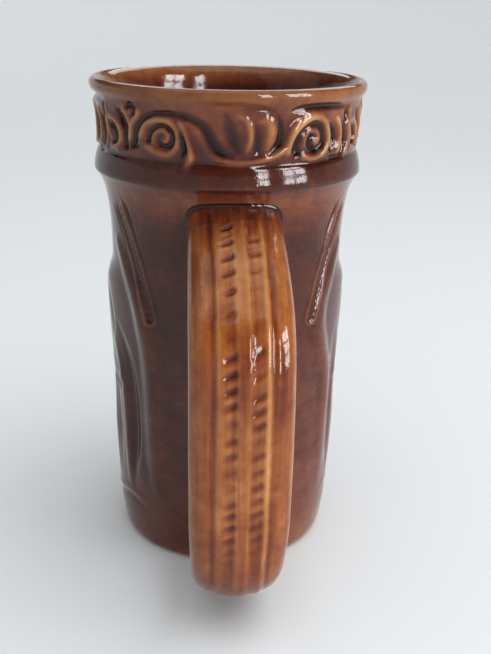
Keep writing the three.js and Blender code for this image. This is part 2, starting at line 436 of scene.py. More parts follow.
def forked_stem(band):
    """The curl and the forked stem that come before the first spiral."""
    band.ridge(
        [(-61.4, 149.6), (-57.4, 149.0), (-53.6, 146.6), (-52.8, 143.4), (-55.6, 141.2), (-60.0, 141.0)],
        1.2, 0.8,
    )
    band.groove(
        [(-60.0, 146.8), (-57.2, 146.6), (-55.6, 144.6), (-56.2, 142.5), (-58.6, 142.0)],
        0.9, 1.1,
    )
    band.groove(
        [(-54.2, 152.0), (-52.0, 149.6), (-50.2, 147.2), (-49.6, 144.4), (-49.6, 141.4)],
        [0.9, 1.2, 1.4, 1.4, 1.6], [1.0, 1.2, 1.3, 1.4, 1.5],
    )
    band.ridge(
        [(-49.6, 153.2), (-47.9, 150.4), (-46.2, 148.2), (-46.6, 145.2), (-47.6, 141.6)],
        [1.1, 1.0, 1.1, 1.1], 0.8,
    )
    band.ridge([(-41.6, 152.2), (-43.8, 150.0), (-46.0, 148.0)], [1.5, 1.2, 1.0], 0.8)
    band.groove([(-48.4, 153.0), (-46.2, 154.1), (-44.0, 153.0), (-44.3, 151.4)], 0.9, 1.2)
    band.ridge([(-46.3, 152.2), (-46.3, 151.6)], 0.8, 0.5)
    band.groove([(-66.4, 152.2), (-66.0, 149.2)], 1.2, 1.1)
    band.ridge([(-63.6, 152.8), (-62.4, 148.0), (-59.6, 143.4), (-55.2, 140.0)], 0.8, 0.75)


def scroll_band(relief):
    for turn in range(BAND_REPEATS):
        band = Placed(relief, partial(moved, by=turn * 360 / BAND_REPEATS))
        for motif in (first_spiral, branch, broad_leaf, second_spiral, drop_and_ridges, forked_stem):
            motif(band)
    relief.grooves *= BAND_GROOVE_SHARE


# ---------- drapery ----------
# The drapery on one side of the handle. It is mirrored across the handle, and again across the flank.
FOLD_BESIDE_STRAP = [
    (68.5, 108.5), (62.5, 103.4), (55.6, 97.0), (50.0, 90.4), (45.6, 82.6), (42.0, 74.0), (40.0, 62.0),
    (38.9, 45.0), (38.6, 24.0),
]
STRAP_ROUTE = [
    (63.6, 124.0), (60.2, 118.2), (55.0, 111.0), (49.9, 103.4), (46.0, 96.4), (42.2, 89.0), (41.0, 86.4),
]
STRAP_HALF_WIDTHS = (2.9, 2.7, 2.6, 2.45, 2.3)
STRAP_BORDER_HEIGHT = 0.75
STRAP_BED_DEPTH = 0.2
STRAP_GUTTER_DEPTH = 0.5
BRAID_HEIGHT = 0.38
BRAID_PITCH = 2.1
# Height up the mug, and how far from the middle of the flank gathered cloth hangs there, as a share.
GATHERING = [(24, 0.63), (66, 0.65), (86, 1.0)]


def hung(route, side, from_back, gathered=False):
    """A route's place on one side of the handle or the other, and towards it or away from it. Gathered
    cloth hangs closer to the middle of the flank below the elbow."""
    placed_route = []
    for angle, z in route:
        if gathered:
            angle = 90 - (90 - angle) * read_off(z, GATHERING)
        placed_route.append((side * (180 - angle if from_back else angle), z))
    return placed_route


def drapery(cloth, stands):
    """Folds, sleeve and hem. `stands` is how much the lower folds stand out."""
    beside_strap = np.linspace(1, stands, 7) * [0.6, 1.3, 1.6, 1.7, 1.7, 1.5, 0.4]
    cloth.fold(FOLD_BESIDE_STRAP, [3.0, 4.8, 6.0, 6.2, 6.2, 6.0, 4.0], beside_strap)
    cloth.groove(
        [(71.0, 80.0), (63.5, 74.0), (58.8, 68.0), (56.2, 62.0), (54.6, 54.0), (53.8, 46.0), (54.4, 38.0),
         (55.8, 31.0), (56.5, 24.0)],
        [1.8, 2.8, 3.2, 3.2, 3.0, 2.8, 1.6], stands * np.array([0.3, 0.9, 1.4, 1.6, 1.5, 1.2, 0.3]),
    )
    cloth.fold(
        [(74.0, 74.0), (68.5, 67.0), (63.4, 58.0), (61.4, 48.0), (61.0, 38.0), (61.4, 24.0)],
        [2.4, 3.0, 3.3, 3.3, 2.6], stands * np.array([0.4, 1.0, 1.2, 1.0, 0.3]),
    )
    cloth.ridge(
        [(57.5, 64.4), (63.0, 61.9), (69.0, 61.0), (76.0, 62.4), (83.0, 65.4)],
        1.2, 0.45 * stands,
    )
    cloth.groove([(60.0, 59.8), (68.0, 58.6), (76.0, 59.8), (84.0, 62.6)], 1.3, 0.7 * stands)
    cloth.groove([(73.0, 56.0), (72.0, 42.0), (71.6, 26.0)], [1.0, 1.8, 1.0], [0.4, 0.8, 0.3])
    cloth.fold([(80.0, 58.0), (79.6, 42.0), (79.0, 24.0)], [2.6, 3.4, 2.4], [0.3, 0.6, 0.2])
    cloth.groove(
        [(90.0, 96.0), (82.0, 90.0), (77.0, 82.0), (75.0, 74.0)],
        [0.8, 1.5, 1.6, 0.8], [0.2, 0.6, 0.6, 0.2],
    )
    cloth.ridge(
        [(90.0, 15.4), (80.0, 17.2), (69.0, 19.4), (60.0, 20.2), (53.0, 19.4), (46.0, 17.6),
         (41.0, 15.0)],
        [1.0, 1.1, 1.1, 1.0, 0.8, 0.6], stands * np.array([0.6, 0.7, 0.7, 0.6, 0.4, 0.0]),
    )
    cloth.groove(
        [(90.0, 13.2), (80.0, 14.8), (69.0, 16.8), (60.0, 17.6), (52.0, 16.6), (45.0, 14.6)],
        [1.4, 1.5, 1.6, 1.5, 1.2, 0.8], stands * np.array([0.8, 0.9, 0.9, 0.9, 0.7, 0.1]),
    )


def strap(relief, place):
    """A slanting strap with two raised borders that join round its lower end, and a braid between them."""
    found = relief.near(place(STRAP_ROUTE), max(STRAP_HALF_WIDTHS) + 3)
    if found is None:
        return
    window, distance, share, gone = found
    half = spread_along(share, STRAP_HALF_WIDTHS)
    fade = smoothstep(0, 0.12, share)
    border = STRAP_BORDER_HEIGHT * mound((distance - half + 0.5) / 0.66)
    weave = 0.5 + 0.5 * np.cos(2 * np.pi * (gone / BRAID_PITCH + 0.3 * distance))
    braid = BRAID_HEIGHT * weave * mound(distance / (half * 0.55))
    relief.ridges[window] = np.maximum(relief.ridges[window], fade * np.maximum(border, braid))
    bed = STRAP_BED_DEPTH * mound(distance / np.maximum(half - 0.6, 0.3)) ** 0.5
    upper_end = 1 - smoothstep(0.1, 0.5, share)
    gutter = STRAP_GUTTER_DEPTH * upper_end * mound((distance - half - 0.7) / 1.1)
    relief.grooves[window] = np.maximum(relief.grooves[window], fade * np.maximum(bed, gutter))


# ---------- sprig on the panel opposite the handle ----------
SPRIG_ANGLE = 180


def sprig(relief):
    """A plain folk sprig: a stem with paired leaves, a three-petalled flower and a ground line."""

    def place(points, side=1):
        return [(SPRIG_ANGLE + math.degrees(side * x / BODY_RADIUS), z) for x, z in points]

    relief.ridge(place([(0, 34), (0.6, 50), (-0.4, 66), (0, 80)]), [1.3, 1.2, 1.1, 1.0], 0.8)
    for side in (-1, 1):
        for z, reach in ((40, 13), (56, 11)):
            leaf = [(0, z), (reach * 0.45, z + 1.5), (reach * 0.85, z + 7), (reach, z + 14)]
            relief.ridge(place(leaf, side), [0.8, 2.6, 2.8, 0.4], [0.6, 0.9, 0.9, 0.3])
            relief.groove(place(leaf[1:], side), [0.3, 0.6, 0.2], [0.3, 0.6, 0.2])
        petal = [(0, 79), (6.5, 82), (9.0, 90), (7.0, 98), (9.5, 103)]
        relief.ridge(place(petal, side), [1.0, 2.0, 2.4, 1.8, 0.6], [0.7, 0.9, 0.9, 0.8, 0.4])
        tendril = [(12.0, 72), (15.0, 76), (14.0, 81), (10.8, 80), (11.4, 77)]
        relief.ridge(place(tendril, side), [0.5, 0.9, 1.0, 0.9, 0.8], 0.75)
    relief.ridge(place([(0, 82), (0, 90), (0, 101)]), [1.6, 3.2, 0.6], [0.8, 1.0, 0.5])
    relief.groove(place([(0, 85), (0, 96)]), [0.3, 0.7], 0.6)
    ground = [(-14, 30.0), (-7, 27.4), (0, 26.6), (7, 27.4), (14, 30.0)]
    relief.ridge(place(ground), [0.3, 1.0, 1.3, 1.0, 0.3], [0.2, 0.6, 0.8, 0.6, 0.2])


# ---------- body ----------
OUTER_PROFILE = [
    (33.0, 0.0), (34.6, 0.9), (35.8, 3.0), (36.6, 7.0), (37.5, 14.0), (38.0, 24.0), (38.4, 36.0),
    (BODY_RADIUS, 60.0), (BODY_RADIUS, 96.0), (38.8, 108.0), (39.3, 116.0), (40.1, 122.0), (40.9, 125.4),
    (41.9, 127.9), (43.0, 129.8), (43.75, 130.7), (ROLL_RADIUS, 131.5), (43.8, 133.2), (43.35, 135.4),
    (42.8, 137.2), (42.2, 138.3), (42.5, 139.3), (BAND_RADIUS, 140.8), (42.7, 144.0), (42.9, 149.0),
    (43.3, 152.8), (43.9, 155.2), (44.8, 156.6), (LIP_RADIUS - 0.05, 157.6), (45.0, 158.8), (44.3, 159.7),
    (43.2, HEIGHT),
]
INNER_PROFILE = [
    (43.2, HEIGHT), (42.0, 159.4), (41.1, 158.0), (40.3, 155.6), (39.2, 151.0), (38.3, 145.0),
    (37.8, 134.0), (36.6, 126.0), (34.8, 118.0), (34.0, 106.0), (33.8, 80.0), (33.4, 50.0), (32.6, 24.0),
    (31.8, 15.0), (28.8, 9.4), (24.0, 7.3), (16.0, 7.0), (6.0, 7.0), (1.5, 7.0),
]
FOOT_PROFILE = [(1.5, 1.1), (15.0, 1.1), (29.6, 1.1), (30.4, 0.5), (31.0, 0.0), (32.0, 0.0)]

# How thin the glaze is by height, on the outer wall and on the inner: 0 where it pools nearly black, 1
# where it runs thin and amber.
OUTER_GLAZE = [
    (0, 0.48), (6, 0.46), (16, 0.40), (40, 0.32), (98, 0.29), (109, 0.27), (115, 0.28), (119, 0.32),
    (123, 0.42), (127, 0.49), (129.4, 0.43), (130.6, 0.28), (132, 0.27), (136.4, 0.26), (138, 0.22),
    (139.6, 0.32), (146, 0.36), (153, 0.43), (156, 0.52), (160, 0.58),
]
INNER_GLAZE = [(7, 0.09), (120, 0.10), (144, 0.13), (151, 0.22), (156, 0.44), (159, 0.60)]
FOOT_GLAZE = 0.5
FLOOR_GLAZE = 0.2  # at the very middle of the floor inside

SLEEVE_SWELL = 1.9
SLEEVE_TOP = 102
SLEEVE_SHOULDER = 93
SLEEVE_END = 50
SLEEVE_HALF_ANGLE = 34


def sleeve_swell(angles, heights):
    """The flanks swell like a sleeve, full just below its shoulder and fading out downwards."""
    off_flank = np.abs(np.abs((angles + 180) % 360 - 180) - 90) / SLEEVE_HALF_ANGLE
    rise = 1 - smoothstep(SLEEVE_SHOULDER, SLEEVE_TOP, heights)
    fall = smoothstep(SLEEVE_END, SLEEVE_SHOULDER, heights)
    return SLEEVE_SWELL * np.outer(rise * fall, np.cos(np.clip(off_flank, 0, 1) * math.pi / 2) ** 2)


def body_relief(angles, heights):
    """How far the outer wall stands out and how thin its glaze is, with painted side light and painted
    shade, over a grid of heights and angles.
    """
    band = Relief(angles, heights, BAND_RADIUS)
    cloth = Relief(angles, heights, BODY_RADIUS)
    trim = Relief(angles, heights, BODY_RADIUS)
    scroll_band(band)
    for side in (-1, 1):
        for from_back in (False, True):
            place = partial(hung, side=side, from_back=from_back)
            gathers = side > 0
            pen = Placed(cloth, partial(place, gathered=gathers), CLOTH_RIDGE_SHARE, CLOTH_GROOVE_SHARE)
            drapery(pen, GATHERED_STAND if gathers else 1.0)
            strap(trim, place)
    sprig(trim)

    softened = blur(cloth.total(), CLOTH_SOFTNESS) + blur(band.total(), BAND_SOFTNESS)
    softened = softened + blur(trim.total(), TRIM_SOFTNESS)
    ends = smoothstep(*RELIEF_STARTS, heights) * (1 - smoothstep(*RELIEF_STOPS, heights))
    shape = (softened + sleeve_swell(angles, heights)) * ends[:, None]

    sharp = band.total() + TRIM_COLOUR_SHARE * trim.total() + CLOTH_COLOUR_SHARE * cloth.total()
    coloured = blur(sharp, TRIM_SOFTNESS)
    above_near = coloured - blur(coloured, NEAR_SPREAD)
    above_wide = coloured - blur(coloured, WIDE_SPREAD)
    proud = NEAR_COLOUR * above_near + WIDE_COLOUR * above_wide
    # the pool strokes darken the glaze as pooled glaze with painted shade
    proud = np.where(proud < 0, POOLING * proud, proud) - blur(band.pools_and_shade, POOL_AND_SHADE_SOFTNESS)
    # painted side light: low on the wall, lighter on the right where the light falls, darker on the left
    painted_side_light = PAINTED_SIDE_LIGHT * np.outer(1 - smoothstep(*PAINTED_SIDE_LIGHT_FADES, heights), np.sin(np.radians(angles)))
    thin = read_off(heights, OUTER_GLAZE)[:, None] + (proud + painted_side_light)
    return shape, np.clip(thin, 0.0, 1.0)


def make_body():
    outer = evenly(smooth_route(OUTER_PROFILE), ROW_STEP)
    inner = evenly(smooth_route(INNER_PROFILE), INNER_ROW_STEP)[1:]
    foot = np.array(FOOT_PROFILE)
    angles = -180 + 360 * np.arange(COLUMNS) / COLUMNS
    turn = np.radians(angles)
    shape, thin_outer = body_relief(angles, outer[:, 1])

    def all_round(values):
        """One value for each row, repeated at every column."""
        return np.repeat(values[:, None], COLUMNS, 1)

    slope = line_slopes(outer)
    outer_r = outer[:, :1] + shape * slope[:, 1:]
    outer_z = outer[:, 1:] - shape * slope[:, :1]
    r = np.vstack([all_round(foot[:, 0]), outer_r, all_round(inner[:, 0])])
    z = np.vstack([all_round(foot[:, 1]), outer_z, all_round(inner[:, 1])])
    points = np.stack([r * np.sin(turn), -r * np.cos(turn), z], -1).reshape(-1, 3)
    points = np.vstack([points, [0, 0, foot[0, 1]], [0, 0, inner[-1, 1]]])

    foot_thin = np.full(len(foot), FOOT_GLAZE)
    thin = np.vstack([all_round(foot_thin), thin_outer, all_round(read_off(inner[:, 1], INNER_GLAZE))])
    thin = np.concatenate([thin.ravel(), [FOOT_GLAZE, FLOOR_GLAZE]])
    bare_outer = 1 - smoothstep(*GLAZE_STARTS, outer[:, 1])
    bare = all_round(np.concatenate([np.ones(len(foot)), bare_outer, np.zeros(len(inner))]))
    bare = np.concatenate([bare.ravel(), [1, 0]])
    faces = capped_faces(len(r), COLUMNS)
    return make_piece("mug_body_glazed", points, faces, {"thin": thin, "bare": bare})


# ---------- handle ----------
# Middle of the strap as (distance from the axis, height), from the wall at the top round to the wall below.
GRIP_LINE = [
    (36.5, 122.0), (39.0, 121.0), (45.9, 118.4), (53.3, 114.9), (64.0, 109.2), (72.6, 102.8), (78.6, 94.0),
    (81.2, 82.0), (81.4, 66.0), (80.8, 48.0), (79.4, 33.0), (75.4, 21.6), (66.6, 15.3), (54.0, 14.2),
    (44.0, 14.6), (36.0, 15.2),
]
GRIP_THICKNESS = 11.5
GRIP_ROW_STEP = 0.5
SECTION_STEP = 0.5
# From the upper end (0) to the lower (1): the strap's width as a share of its full width, how far its edges
# curl down below its middle in millimetres, and how thin its glaze is.
GRIP_WIDTHS = [
    (0, 0.96), (0.06, 0.98), (0.26, 1), (0.5, 1), (0.64, 0.985), (0.76, 0.93), (0.86, 0.89), (1, 0.88),
]
GRIP_CROWN = [(0, 0.9), (0.1, 0.5), (0.3, 0.0), (0.62, 0.0), (0.76, 2.6), (0.86, 1.2), (1.0, 0.6)]
GRIP_GLAZE = [(0, 0.54), (0.1, 0.63), (0.5, 0.59), (0.9, 0.53), (1, 0.46)]
GRIP_EDGE_GLAZE = 0.12  # how much thinner the glaze is at the strap's edges
GRIP_INNER_DARKENING = -0.16  # and how much darker its inner face, towards the wall, is made
GRIP_TIP_GLAZE = 0.3  # at its two ends, inside the wall
GRIP_SOFTNESS = 0.6
GRIP_NEAR_SPREAD = 4
GRIP_RELIEF_END = [(0.66, 1.0), (0.77, 0.5), (0.84, 0.0)]  # how the bands and stitches fade out
MIDDLE_BAND_HEIGHT = 0.36
LEFT_RIDGE_HEIGHT = 0.24
RIGHT_RIDGE_HEIGHT = 0.46
EDGE_GROOVE_DEPTH = 0.40
STITCH_AT = 0.26  # of the half width
STITCH_HALF_WIDTH = 0.155
STITCH_DEPTHS = {-1: 1.15, 1: 0.85}
STITCH_RIM = 0.26  # height of the clay pushed up beside each stitch
# Millimetres along the strap to each pressed stitch, and how deep it was pressed, for the two rows.
STITCH_ROWS = {
    -1: [
        (14, 1.0), (20.5, 1.0), (26.5, 1.0), (32, 0.9), (38, 0.9), (44.5, 0.3), (49.5, 0.2), (54, 0.9),
        (58, 1.0), (62, 1.0), (66, 0.9), (71, 0.4), (76, 0.75), (80.5, 0.65), (85.5, 0.3), (90.5, 0.35),
        (95.5, 0.65), (99, 0.75), (103, 0.7), (107, 0.55), (111, 0.25),
    ],
    1: [
        (19, 0.7), (25, 0.8), (31, 0.4), (37, 0.2), (46.5, 0.2), (52.5, 0.6), (58, 0.5), (63.5, 0.9),
        (67.5, 1.0), (71.5, 0.9), (76, 0.4), (80.5, 0.8), (85.5, 0.8), (90, 0.9), (94.5, 0.8), (98.5, 0.65),
        (102.5, 0.55), (106.5, 0.45), (110.5, 0.2),
    ],
}
# Where the glaze on the strap ran thicker or thinner, and where painted shade darkens its middle and its
# right panel: share of the half width, share of the length, their two half extents, and the change.
GLAZE_RUNS_AND_PAINTED_SHADE = [
    (0.05, 0.215, 0.55, 0.085, 0.13),
    # painted shade: the middle of the strap and its right panel, about a third of the way down, darkened
    (0.0, 0.365, 0.26, 0.11, -0.20),
    (0.76, 0.37, 0.22, 0.10, -0.17),
    (0.0, 0.04, 1.8, 0.10, -0.24),
    (-0.80, 0.20, 0.22, 0.08, -0.06),
    (-0.62, 0.42, 0.14, 0.12, -0.07),
    (0.50, 0.52, 0.12, 0.20, 0.10),
    (0.28, 0.66, 0.2, 0.10, -0.06),
    (0.0, 0.78, 1.6, 0.10, -0.06),
]


def grip_section():
    """One turn round the strap's section, in millimetres across and out from its middle."""
    right = [
        (0.0, 0.96), (0.2, 0.95), (0.4, 0.905), (0.56, 0.845), (0.72, 0.755), (0.86, 0.60), (0.955, 0.34),
        (1.0, 0.0), (0.985, -0.32), (0.93, -0.62), (0.80, -0.86), (0.6, -0.97), (0.3, -1.0), (0.0, -1.0),
    ]
    left = [(-x, y) for x, y in right[-2:0:-1]]
    loop = [*right, *left, right[0]]
    scaled = np.array(loop) * (GRIP_HALF_WIDTH, GRIP_THICKNESS / 2)
    wrapped = np.vstack([scaled[-3:-1], scaled, scaled[1:3]])
    line = smooth_route(wrapped, 0.1)
    from_start = np.linalg.norm(line - scaled[0], axis=1)
    start = np.argmin(from_start[: len(line) // 3])
    end = len(line) // 2 + np.argmin(from_start[len(line) // 2:])
    return evenly(line[start:end + 1], SECTION_STEP)[:-1]


def grip_relief(across, along, length):
    """Height over the strap's outer face, `across` from -1 to 1 and `along` in millimetres: a raised middle
    band, a row of pressed stitches on each side of it, then a low ridge and a groove."""
    height = MIDDLE_BAND_HEIGHT * (smoothstep(-0.165, -0.125, across) - smoothstep(0.13, 0.19, across))
    height = height + LEFT_RIDGE_HEIGHT * mound((across + 0.43) / 0.13)
    height = height + RIGHT_RIDGE_HEIGHT * mound((across - 0.455) / 0.10)
    height = height - EDGE_GROOVE_DEPTH * mound((np.abs(across) - 0.56) / 0.08)
    for side, stitches in STITCH_ROWS.items():
        x = (across - side * STITCH_AT) / STITCH_HALF_WIDTH
        across_notch = smoothstep(-1.15, -0.2, x) * (1 - smoothstep(0.82, 1.08, x))
        for place, depth in stitches:
            off = along - place + 0.85 * x
            deepening = STITCH_DEPTHS[side] * depth * (0.55 + 0.33 * x)
            height = height - deepening * across_notch * mound(off / (1.25 + 0.25 * x))
            height = height + STITCH_RIM * depth * mound(x / 1.1) * mound((off - 2.1) / 1.3)
    ease = smoothstep(4, 13, along) * read_off(along / length, GRIP_RELIEF_END)
    return height * ease


def make_handle():
    line = evenly(smooth_route(GRIP_LINE), GRIP_ROW_STEP)
    section = grip_section()
    length = GRIP_ROW_STEP * (len(line) - 1)
    share = np.linspace(0, 1, len(line))[:, None]
    along = share * length
    section_x, section_y = section.T[:, None, :]
    across = section_x / GRIP_HALF_WIDTH
    outer_face = smoothstep(0.0, 0.45, section_y / (GRIP_THICKNESS / 2))
    relief = blur(grip_relief(across, along, length) * outer_face, GRIP_SOFTNESS)

    tangent = loop_slopes(section)
    x = (section_x - relief * tangent[:, 1]) * read_off(share, GRIP_WIDTHS)
    up = section_y + relief * tangent[:, 0] - read_off(share, GRIP_CROWN) * across**2
    slope = line_slopes(line)
    out = line[:, :1] - slope[:, 1:] * up
    z = line[:, 1:] + slope[:, :1] * up
    points = np.stack([x, -out, z], -1).reshape(-1, 3)
    points = np.vstack([points, *[[0, -tip_out, tip_z] for tip_out, tip_z in line[[0, -1]]]])

    thin = read_off(share, GRIP_GLAZE)
    for a, s, half_width, half_length, change in GLAZE_RUNS_AND_PAINTED_SHADE:
        thin = thin + change * mound((across - a) / half_width) * mound((share - s) / half_length)
    thin = thin + NEAR_COLOUR * (relief - blur(relief, GRIP_NEAR_SPREAD))
    thin = thin + GRIP_EDGE_GLAZE * smoothstep(0.9, 1.0, np.abs(across))
    thin = thin + GRIP_INNER_DARKENING * (1 - outer_face)
    thin = np.concatenate([np.clip(thin, 0, 1).ravel(), [GRIP_TIP_GLAZE, GRIP_TIP_GLAZE]])
    place = np.stack(np.broadcast_arrays(section_x, along, section_y), -1)
    place = np.vstack([place.reshape(-1, 3), [[0, 0, 0], [0, length, 0]]])
    faces = capped_faces(len(line), len(section))
    return make_piece("handle_glazed", points, faces, {"thin": thin}, {"strap": place}, flip=True)


# ---------- slip round the handle's ends ----------
BEAD_RADIUS = 0.95
BEAD_WIDTH_SHARE = 1.15
BEAD_HEIGHT_SHARE = 0.8
BEAD_SINK = 0.35  # how deep the bead's middle lies under the line where the strap meets the wall
BEAD_STEPS = 12
BEAD_GLAZE = 0.05
END_WIDTH_SHARES = (0.95, 0.88)  # of the strap's full width, at its upper and its lower end


def joint_line(end):
    """The line on which the strap's surface runs into the wall, at its upper end (0) or its lower (1)."""
    line = evenly(smooth_route(GRIP_LINE), GRIP_ROW_STEP)
    path = line[::-1] if end else line
    slopes = line_slopes(path)
    outward = -1 if end else 1
    wall = sorted((z, r) for r, z in OUTER_PROFILE)
    found = []
    for across, up in grip_section():
        x = across * END_WIDTH_SHARES[end]
        for spot, slope in zip(path, slopes):
            r, z = spot + np.array([-slope[1], slope[0]]) * outward * up
            if math.hypot(x, r) >= read_off(z, wall):
                found.append((x, -r, z))
                break
    return np.array(found)


def make_joint(name, end):
    """A thin dark bead of slip along the line where one end of the strap meets the wall."""
    line = joint_line(end)
    normal = unit(line * (1, 1, 0))
    centres = np.column_stack([blur(line[None, :, k], 0.5, 1.5)[0] for k in range(3)])
    side = unit(np.cross(loop_slopes(centres), normal))
    if np.einsum("ij,ij->i", side, centres - centres.mean(0)).mean() < 0:
        side = -side
    ring = []
    for k in range(BEAD_STEPS):
        a = 2 * math.pi * k / BEAD_STEPS
        offset = math.cos(a) * side * BEAD_WIDTH_SHARE + math.sin(a) * normal * BEAD_HEIGHT_SHARE
        ring.append(centres + BEAD_RADIUS * offset - BEAD_SINK * normal)
    points = np.stack(ring, 1).reshape(-1, 3)
    faces = grid_faces(len(line), BEAD_STEPS, closed=True)
    return make_piece(name, points, faces, {"thin": np.full(len(points), BEAD_GLAZE)}, flip=end == 1)


# ---------- materials ----------
GLAZE_RAMP = [
    (0.00, (0.008, 0.002, 0.0012)),
    (0.16, (0.027, 0.006, 0.003)),
    (0.30, (0.062, 0.013, 0.006)),
    (0.46, (0.140, 0.028, 0.008)),
    (0.62, (0.240, 0.072, 0.018)),
    (0.78, (0.370, 0.150, 0.046)),
    (1.00, (0.520, 0.280, 0.120)),
]
BODY_RAMP = [
    *GLAZE_RAMP[:3],
    (0.46, (0.128, 0.033, 0.014)),
    (0.62, (0.205, 0.075, 0.024)),
    (0.78, (0.300, 0.138, 0.050)),
    (1.00, (0.430, 0.260, 0.130)),
]
CLAY_RAMP = [(0.0, (0.30, 0.22, 0.15)), (1.0, (0.47, 0.38, 0.28))]
CLAY_ROUGHNESS = 0.85
GLAZE_IOR = 1.42
GLAZE_ROUGHNESS = (0.05, 0.13)
RIPPLE_HEIGHT = 0.12 * MM
EVEN = (1, 1, 1)  # how much each axis squeezes a noise
ALONG_STRAP = (1, 0.06, 1)
DOWN_WALL = (1, 1, 0.09)
ROUND_WALL = (0.3, 0.3, 1)


class Shading:
    """A material, with short ways to add nodes to it. Its noises read the mug's own coordinates, or the
    handle's: millimetres across the strap, along it and out from its middle."""

    def __init__(self, name, strap_coordinates=False):
        self.material = bpy.data.materials.new(name)
        self.material.use_nodes = True
        self.tree = self.material.node_tree
        self.shader = self.tree.nodes["Principled BSDF"]
        if strap_coordinates:
            self.spot = self.attribute("strap", "Vector")
            self.unit = 1.0
        else:
            self.spot = self.tree.nodes.new("ShaderNodeTexCoord").outputs["Object"]
            self.unit = 1 / MM

    def feed(self, node, inputs):
        """Sets each of a node's inputs to a value or joins it to another node's output."""
        for key, value in inputs.items():
            if isinstance(value, bpy.types.NodeSocket):
                self.tree.links.new(value, node.inputs[key])
            else:
                node.inputs[key].default_value = value

    def add(self, kind, inputs, **settings):
        node = self.tree.nodes.new(kind)
        for key, value in settings.items():
            setattr(node, key, value)
        self.feed(node, inputs)
        return node

    def attribute(self, name, output="Fac"):
        return self.add("ShaderNodeAttribute", {}, attribute_name=name).outputs[output]

    def noise(self, scale, detail, stretch=EVEN, rough=0.55, twist=0.0):
        """A noise from 0 to 1, with `scale` waves to the millimetre."""
        mapping = self.add("ShaderNodeMapping", {"Vector": self.spot, "Scale": stretch})
        inputs = {
            "Vector": mapping.outputs["Vector"],
            "Scale": scale * self.unit,
            "Detail": detail,
            "Roughness": rough,
            "Distortion": twist,
        }
        return self.add("ShaderNodeTexNoise", inputs).outputs["Fac"]

    def shifted(self, base, wave, amount):
        """base + (wave - 0.5) * amount"""
        centred = self.add("ShaderNodeMath", {0: wave, 1: 0.5}, operation="SUBTRACT").outputs[0]
        inputs = {0: centred, 1: amount, 2: base}
        return self.add("ShaderNodeMath", inputs, operation="MULTIPLY_ADD").outputs[0]

    def ramp(self, value, colours):
        """The colour at a value from a list of (position, colour)."""
        node = self.add("ShaderNodeValToRGB", {"Fac": value})
        elements = node.color_ramp.elements
        while len(elements) < len(colours):
            elements.new(0.5)
        for element, (position, colour) in zip(elements, colours):
            element.position = position
            element.color = (*colour, 1)
        return node.outputs["Color"]

    def mix(self, share, a, b, data_type="FLOAT"):
        inputs = {"Factor": share, "A": a, "B": b}
        return self.add("ShaderNodeMix", inputs, data_type=data_type).outputs["Result"]


def glaze(name, streak, drift, colours, with_foot=False, strap_coordinates=False):
    """A glossy glaze whose colour runs from pooled black to thin amber with the `thin` attribute, which
    also carries painted side light and painted shade.
    """
    shading = Shading(name, strap_coordinates)
    value = shading.attribute("thin")
    waves = [  # scale, detail, stretch and twist of a noise, and how much it moves the colour
        (0.07, 4, EVEN, 0.8, 0.34),
        (0.42, 4, ALONG_STRAP if strap_coordinates else DOWN_WALL, 0.3, streak),
        (0.5, 4, ROUND_WALL, 0.5, drift),
        (0.22, 3, EVEN, 1.0, 0.16),
        (1.8, 3, EVEN, 0.0, 0.10),
    ]
    for scale, detail, stretch, twist, amount in waves:
        value = shading.shifted(value, shading.noise(scale, detail, stretch, twist=twist), amount)
    colour = shading.ramp(value, colours)
    patches = shading.noise(0.25, 3)
    low, high = GLAZE_ROUGHNESS
    gloss = {"Value": patches, "From Min": 0.3, "From Max": 0.7, "To Min": low, "To Max": high}
    roughness = shading.add("ShaderNodeMapRange", gloss).outputs["Result"]
    if with_foot:
        bare = shading.attribute("bare")
        clay = shading.ramp(shading.noise(1.2, 5, rough=0.7), CLAY_RAMP)
        colour = shading.mix(bare, colour, clay, "RGBA")
        roughness = shading.mix(bare, roughness, CLAY_ROUGHNESS)
    ripple = shading.shifted(shading.noise(0.55, 2), shading.noise(2.4, 1), 0.25)
    bump = shading.add("ShaderNodeBump", {"Height": ripple, "Strength": 0.25, "Distance": RIPPLE_HEIGHT})
    normal = bump.outputs["Normal"]
    surface = {"Base Color": colour, "Roughness": roughness, "IOR": GLAZE_IOR, "Normal": normal}
    shading.feed(shading.shader, surface)
    return shading.material


# ---------- the mug ----------
body = make_body()
body.data.materials.append(glaze("body_glaze", 0.08, 0.13, BODY_RAMP, with_foot=True))
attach(body, "root")
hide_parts("mug_body")

handle = make_handle()
handle.data.materials.append(glaze("handle_glaze", 0.45, 0.18, GLAZE_RAMP, strap_coordinates=True))
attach(handle, "root")
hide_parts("handle")

joint_glaze = glaze("joint_glaze", 0.1, 0.1, BODY_RAMP)
joints = []
for node_name, end in (("upper_joint_slip", 0), ("lower_joint_slip", 1)):
    joint = make_joint(f"{node_name}_glazed", end)
    joint.data.materials.append(joint_glaze)
    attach(joint, "root")
    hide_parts(node_name)
    joints.append(joint)


# ---------- floor ----------
# The floor is a wide shallow bowl: flat under the mug, then curving up into a low pale wall all round.
FLOOR_PROFILE = [(0.0, 0.0), (0.9, 0.0), (1.3, 0.02), (1.7, 0.09), (2.1, 0.25), (2.4, 0.50), (2.6, 0.85)]
FLOOR_SPOKES = 96
FLOOR_COLOUR = (0.79, 0.82, 0.835, 1)
FLOOR_ROUGHNESS = 0.9
FLOOR_SHINE = 0.1


